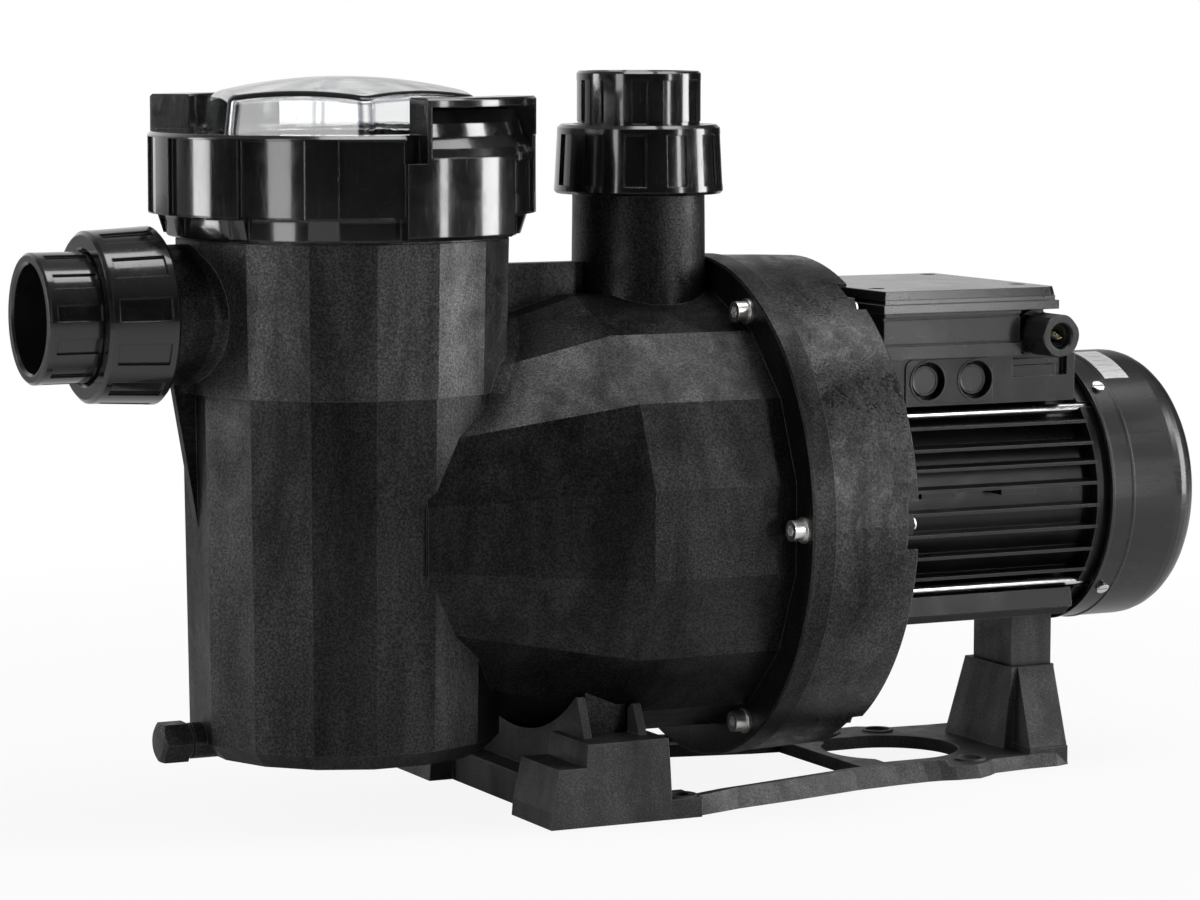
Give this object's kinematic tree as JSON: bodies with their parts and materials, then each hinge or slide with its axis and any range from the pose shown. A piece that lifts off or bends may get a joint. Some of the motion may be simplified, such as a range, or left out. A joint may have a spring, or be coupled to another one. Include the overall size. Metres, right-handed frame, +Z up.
{
  "type": "pool pump",
  "caption": "Self-priming pool circulation pump: faceted strainer pot with clear lid and lock ring, screwed pipe unions, flange motor with terminal box, and a bolt-down base.",
  "frame": {"origin": "on the floor, midway between the two front fixing holes of the base", "axes": "+X along the shaft from the strainer pot to the motor fan, +Z up"},
  "size_m": [0.6014, 0.2484, 0.3518],
  "materials": {
    "moulded_body": "matt glass-filled moulding",
    "gloss_black": "gloss",
    "base_plastic": "satin grained moulding",
    "clear_cover": "clear polycarbonate",
    "motor_paint": "satin black paint on aluminium",
    "cowl_black": "satin black",
    "box_black": "satin",
    "stainless": "stainless steel",
    "zinc": "bright zinc",
    "seal_rubber": "EPDM",
    "basket_white": "moulded",
    "wet_black": "glass-filled moulding",
    "ceramic": "ceramic seal face",
    "carbon": "carbon seal face",
    "shaft_steel": "ground steel",
    "lamination": "electrical steel",
    "copper": "enamelled copper",
    "block_beige": "moulded terminal block",
    "capacitor_white": "moulded can",
    "label_silver": "blank plate"
  },
  "bodies": {
    "root": {"base_frame": "base_plastic", "motor_post": "base_plastic", "base_screws": "stainless", "pump_body": "moulded_body", "seal_housing": "moulded_body", "body_oring": "seal_rubber", "flange_screws": "stainless", "flange_washers": "stainless", "flange_nuts": "stainless", "diffuser": "wet_black", "seal_seat": "ceramic", "stator_core": "lamination", "stator_windings": "copper", "motor_frame": "motor_paint", "front_bearing": "shaft_steel", "rear_bearing": "shaft_steel", "front_end_shield": "motor_paint", "rear_end_shield": "motor_paint", "tie_rods": "zinc", "motor_screws": "stainless", "fan_cowl": "cowl_black", "cowl_screws": "zinc", "terminal_box": "box_black", "terminal_lid": "box_black", "terminal_lid_screws": "zinc", "terminal_block": "block_beige", "capacitor": "capacitor_white", "cable_gland": "box_black", "gland_nut": "box_black", "knockout_plugs": "box_black", "rating_label": "label_silver"},
    "shaft": {"motor_shaft": "shaft_steel", "rotor_core": "lamination", "impeller": "wet_black", "impeller_screw": "wet_black", "seal_rotor": "carbon", "water_slinger": "seal_rubber", "fan": "wet_black"},
    "lid": {"lid_dome": "clear_cover", "lid_oring": "seal_rubber"},
    "ring": {"lock_ring": "gloss_black"},
    "basket": {"strainer_basket": "basket_white"},
    "suction_pipe_end": {"suction_tail": "gloss_black", "suction_oring": "seal_rubber"},
    "suction_collar": {"suction_nut": "gloss_black"},
    "discharge_pipe_end": {"discharge_tail": "gloss_black", "discharge_oring": "seal_rubber"},
    "discharge_collar": {"discharge_nut": "gloss_black"},
    "drain_seal": {"drain_oring": "seal_rubber"},
    "drain_screw": {"drain_plug": "moulded_body"}
  },
  "joints": [
    {"name": "shaft_spin", "type": "hinge", "parent": "root", "child": "shaft", "pos_m": [0.15, 0, 0.1375], "axis": [1, 0, 0], "continuous": true},
    {"name": "lid_lift", "type": "slide", "parent": "root", "child": "lid", "axis": [0, 0, 1], "range_m": [0, 0.3]},
    {"name": "lock_ring_turn", "type": "hinge", "parent": "lid", "child": "ring", "pos_m": [-0.138, 0, 0.31], "axis": [0, 0, 1], "range_deg": [0, 360]},
    {"name": "basket_lift", "type": "slide", "parent": "root", "child": "basket", "axis": [0, 0, 1], "range_m": [0, 0.18]},
    {"name": "suction_union_slide", "type": "slide", "parent": "root", "child": "suction_pipe_end", "axis": [-1, 0, 0], "range_m": [0, 0.024]},
    {"name": "suction_nut_turn", "type": "hinge", "parent": "suction_pipe_end", "child": "suction_collar", "pos_m": [-0.25, 0, 0.24], "axis": [-1, 0, 0], "range_deg": [0, 1440]},
    {"name": "discharge_union_slide", "type": "slide", "parent": "root", "child": "discharge_pipe_end", "axis": [0, 0, 1], "range_m": [0, 0.024]},
    {"name": "discharge_nut_turn", "type": "hinge", "parent": "discharge_pipe_end", "child": "discharge_collar", "pos_m": [0.0186, 0, 0.3084], "axis": [0, 0, 1], "range_deg": [0, 1440]},
    {"name": "drain_seal_slide", "type": "slide", "parent": "root", "child": "drain_seal", "axis": [-1, 0, 0], "range_m": [0, 0.016]},
    {"name": "drain_plug_turn", "type": "hinge", "parent": "drain_seal", "child": "drain_screw", "pos_m": [-0.223, 0, 0.0392], "axis": [-1, 0, 0], "range_deg": [0, 2880]}
  ],
  "couplings": [
    {"joint": "basket_lift", "follows": "lid_lift", "ratio": 0.6},
    {"joint": "suction_union_slide", "follows": "suction_nut_turn", "m_per_rad": 0.00095493},
    {"joint": "discharge_union_slide", "follows": "discharge_nut_turn", "m_per_rad": 0.00095493},
    {"joint": "drain_seal_slide", "follows": "drain_plug_turn", "m_per_rad": 0.00031831}
  ]
}
